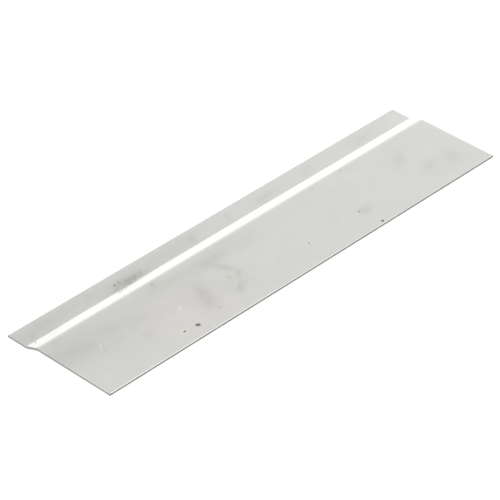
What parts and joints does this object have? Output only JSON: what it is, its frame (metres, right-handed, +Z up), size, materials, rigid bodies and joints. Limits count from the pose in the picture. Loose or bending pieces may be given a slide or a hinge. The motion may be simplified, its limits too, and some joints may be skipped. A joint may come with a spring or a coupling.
{
  "type": "joggled sheet metal plate",
  "caption": "Long flat rectangle of thin bare steel sheet with a shallow joggle along its length, dropping a narrow lap flange a small step below the wide flat.",
  "frame": {"origin": "bottom centre of the plate's box: mid length, mid width, at the lap flange's underside", "axes": "+X along the plate's length, +Y from the front edge of the wide flat to the free edge of the narrow lap flange, +Z up, out of the face that the wide flat raises"},
  "size_m": [0.305, 0.075, 0.0044],
  "materials": {
    "plate_steel": "bare rolled sheet, satin, with light smudges and a few dark specks"
  },
  "bodies": {
    "root": {"offset_plate": "plate_steel"}
  },
  "joints": []
}
